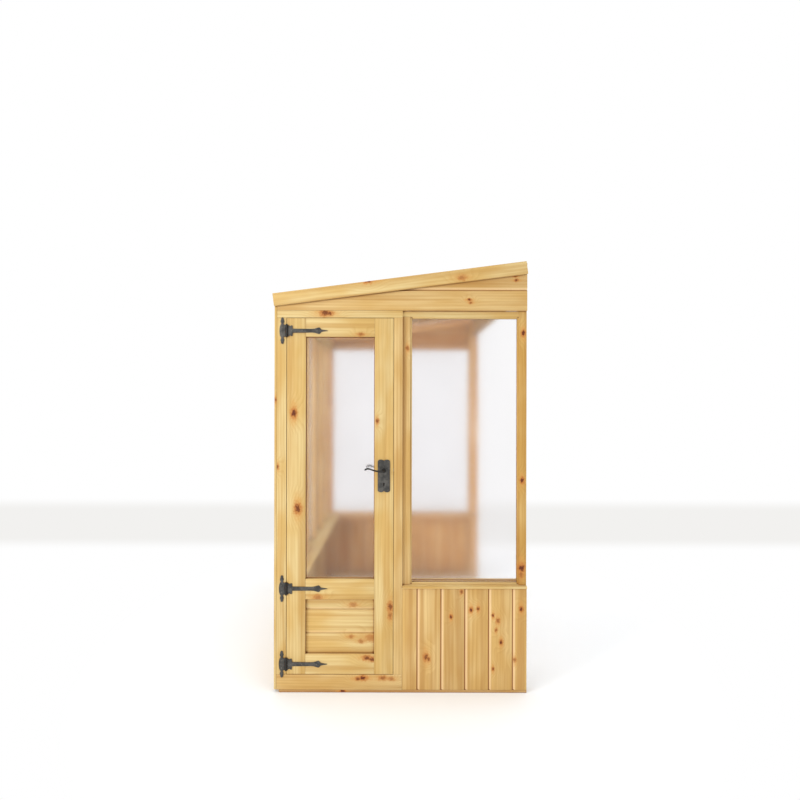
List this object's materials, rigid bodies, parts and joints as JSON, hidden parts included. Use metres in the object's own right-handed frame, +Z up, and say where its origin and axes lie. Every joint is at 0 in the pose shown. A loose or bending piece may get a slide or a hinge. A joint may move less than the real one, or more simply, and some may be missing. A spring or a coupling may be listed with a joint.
{
  "type": "lean to greenhouse",
  "caption": "Timber lean-to greenhouse with boarded lower walls, frosted glazing, a ledged half-glazed door on strap hinges, a sloping glass roof and an opening roof vent.",
  "frame": {"origin": "middle of the footprint on the ground", "axes": "+X from the low glazed wall to the open house side, -Y is the door gable, +Z up"},
  "size_m": [1.219, 1.8718, 2.096],
  "materials": {
    "pine": "planed softwood with a clear honey stain, grain along each piece and small brown knots",
    "glass": "frosted horticultural glass that lets light through and blurs what is behind",
    "black_iron": "antique black iron, slightly rough, with worn edges",
    "steel": "plain bright steel of the lock"
  },
  "bodies": {
    "root": {"base_frame": "pine", "door_threshold": "pine", "door_jamb_hinge": "pine", "near_mid_post": "pine", "near_head_rail": "pine", "near_window_sill": "pine", "near_corner_post": "pine", "near_glass": "glass", "near_cladding": "pine", "near_gable_header": "pine", "near_bargeboard": "pine", "far_low_post": "pine", "far_house_post": "pine", "far_head_rail": "pine", "far_window_sill": "pine", "far_cladding": "pine", "far_gable_header": "pine", "far_bargeboard": "pine", "far_glass_low": "glass", "far_glass_house": "glass", "low_post_near": "pine", "low_post_far": "pine", "low_window_sill": "pine", "eaves_beam": "pine", "low_cladding": "pine", "corner_trim_near": "pine", "corner_trim_far": "pine", "low_glass_near": "glass", "low_glass_middle": "glass", "low_glass_far": "glass", "ridge_plate": "pine", "roof_rafter_near": "pine", "roof_rafter_far": "pine", "vent_trimmer": "pine", "roof_glass_near": "glass", "roof_glass_middle": "glass", "roof_glass_far": "glass", "vent_hinge": "black_iron", "hinge_plate_top": "black_iron", "hinge_plate_middle": "black_iron", "hinge_plate_bottom": "black_iron"},
    "door": {"door_hinge_stile": "pine", "door_lock_stile": "pine", "door_top_rail": "pine", "door_mid_rail": "pine", "door_bottom_rail": "pine", "door_glass": "glass", "door_panel": "pine", "handle_plate_outer": "black_iron", "handle_plate_inner": "black_iron", "lock_case": "steel", "hinge_strap_top": "black_iron", "hinge_strap_middle": "black_iron", "hinge_strap_bottom": "black_iron"},
    "lever": {"door_lever": "black_iron"},
    "latch": {"latch_bolt": "steel"},
    "dead_bolt": {"dead_bolt": "steel"},
    "vent": {"vent_sash": "pine", "vent_glass": "glass"},
    "stay": {"vent_stay": "black_iron"}
  },
  "joints": [
    {"name": "door_swing", "type": "hinge", "parent": "root", "child": "door", "pos_m": [-0.5435, -0.88865, 0.9], "axis": [0, 0, -1], "range_deg": [0, 170]},
    {"name": "lever_turn", "type": "hinge", "parent": "door", "child": "lever", "pos_m": [-0.0765, -0.86415, 1.066], "axis": [0, -1, 0], "range_deg": [0, 40], "stiffness_Nm_per_rad": 1, "springref_deg": -28.65},
    {"name": "latch_slide", "type": "slide", "parent": "door", "child": "latch", "axis": [-1, 0, 0], "range_m": [0, 0.01]},
    {"name": "dead_bolt_slide", "type": "slide", "parent": "door", "child": "dead_bolt", "axis": [1, 0, 0], "range_m": [0, 0.014]},
    {"name": "vent_swing", "type": "hinge", "parent": "root", "child": "vent", "pos_m": [0.5855, 0.01685, 2.09147], "axis": [0, 1, 0], "range_deg": [0, 40]},
    {"name": "stay_swing", "type": "hinge", "parent": "vent", "child": "stay", "pos_m": [0.1365, 0.01685, 1.99141], "axis": [0, 1, 0], "range_deg": [0, 80]}
  ],
  "couplings": [
    {"joint": "latch_slide", "follows": "lever_turn", "m_per_rad": 0.0143}
  ]
}
